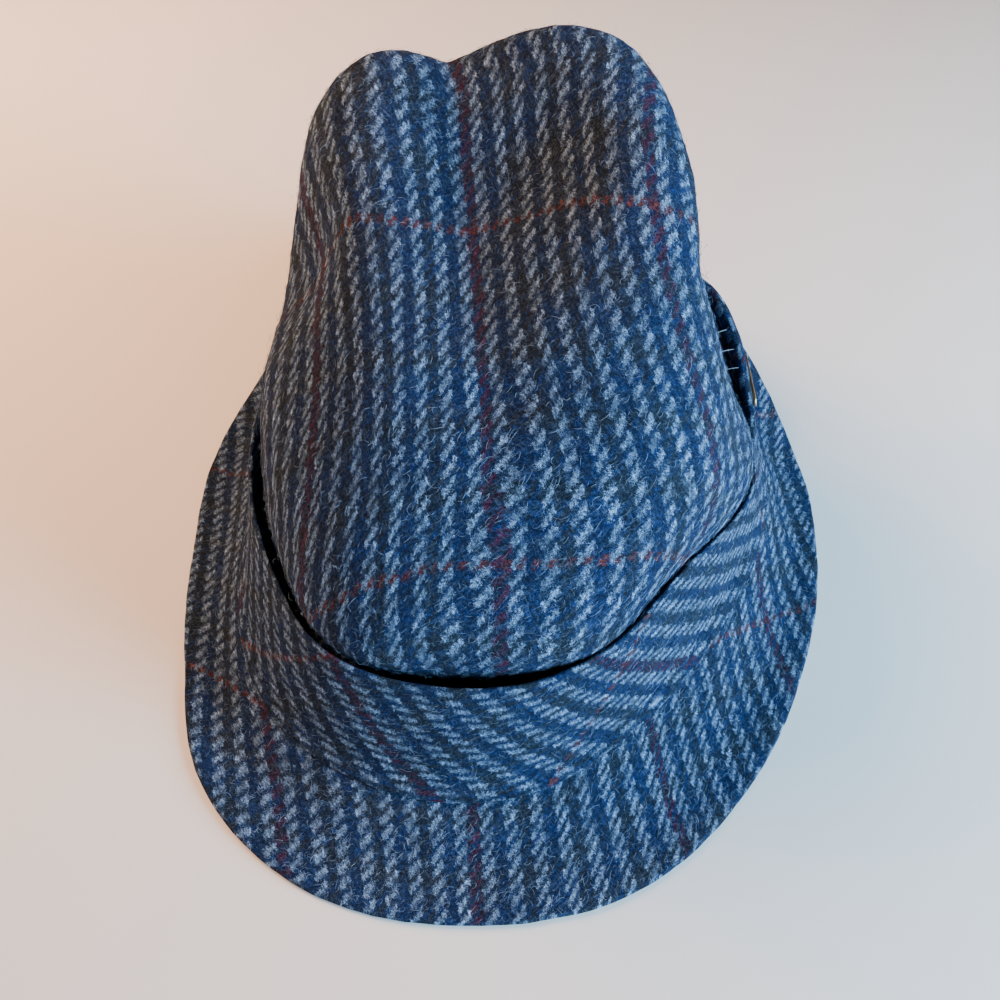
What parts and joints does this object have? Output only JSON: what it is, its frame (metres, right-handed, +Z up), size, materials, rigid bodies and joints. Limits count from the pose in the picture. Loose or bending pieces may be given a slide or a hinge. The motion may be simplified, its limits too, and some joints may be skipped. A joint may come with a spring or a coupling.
{
  "type": "tweed hat",
  "caption": "Soft tweed hat with a creased crown, a band of the same cloth standing off it, a brim turned up at the back and a small brass pin.",
  "frame": {"origin": "middle of the hat's outline seen from above, on the surface it rests on", "axes": "+Z up, the front of the hat looks along -Y, +X to the wearer's left, where the pin is"},
  "size_m": [0.2746, 0.3144, 0.1615],
  "materials": {
    "tweed": "rough checked wool",
    "band_tweed": "rough checked wool cut on the bias",
    "brass": "worn satin"
  },
  "bodies": {
    "root": {"crown": "tweed", "hatband": "band_tweed", "brim": "tweed", "band_pin": "brass"}
  },
  "joints": []
}
